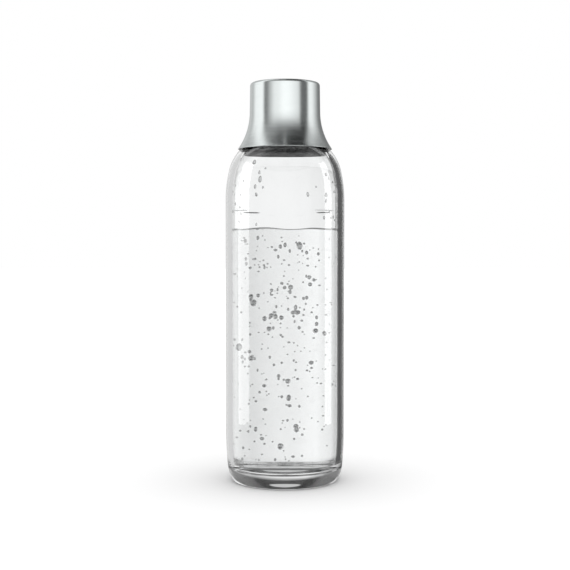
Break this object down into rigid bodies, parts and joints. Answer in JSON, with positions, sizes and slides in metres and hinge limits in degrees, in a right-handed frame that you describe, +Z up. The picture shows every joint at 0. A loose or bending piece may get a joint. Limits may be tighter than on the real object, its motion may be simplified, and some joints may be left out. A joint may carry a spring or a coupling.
{
  "type": "carbonating bottle",
  "caption": "Clear glass carbonating bottle with rounded shoulders and a hollow base, closed by a flared steel screw cap with a threaded core and seal, holding sparkling water.",
  "frame": {"origin": "on the bottle's axis, at the face it stands on", "axes": "+Z up along the bottle's axis, -Y towards the front"},
  "size_m": [0.08, 0.08, 0.268],
  "materials": {
    "glass_bottle": "gloss",
    "sparkling_water": "gloss",
    "fill_mark_front_left": "satin",
    "fill_mark_front_right": "satin",
    "fill_mark_rear_left": "satin",
    "fill_mark_rear_right": "satin",
    "cap_shell": "satin",
    "cap_core": "matte",
    "cap_lock_ring": "matte",
    "cap_seal": "matte"
  },
  "bodies": {
    "bottle": {"glass_bottle": "glass_bottle", "sparkling_water": "sparkling_water", "fill_mark_front_left": "fill_mark_front_left", "fill_mark_front_right": "fill_mark_front_right", "fill_mark_rear_left": "fill_mark_rear_left", "fill_mark_rear_right": "fill_mark_rear_right"},
    "seal_carrier": {"cap_seal": "cap_seal"},
    "cap": {"cap_shell": "cap_shell", "cap_core": "cap_core", "cap_lock_ring": "cap_lock_ring"}
  },
  "joints": [
    {"name": "cap_rise", "type": "slide", "parent": "bottle", "child": "seal_carrier", "axis": [0, 0, 1], "range_m": [0, 0.06]},
    {"name": "cap_turn", "type": "hinge", "parent": "seal_carrier", "child": "cap", "pos_m": [0, 0, 0.25], "axis": [0, 0, 1], "range_deg": [0, 1800]}
  ],
  "couplings": [
    {"joint": "cap_rise", "follows": "cap_turn", "m_per_rad": 0.0019099}
  ]
}
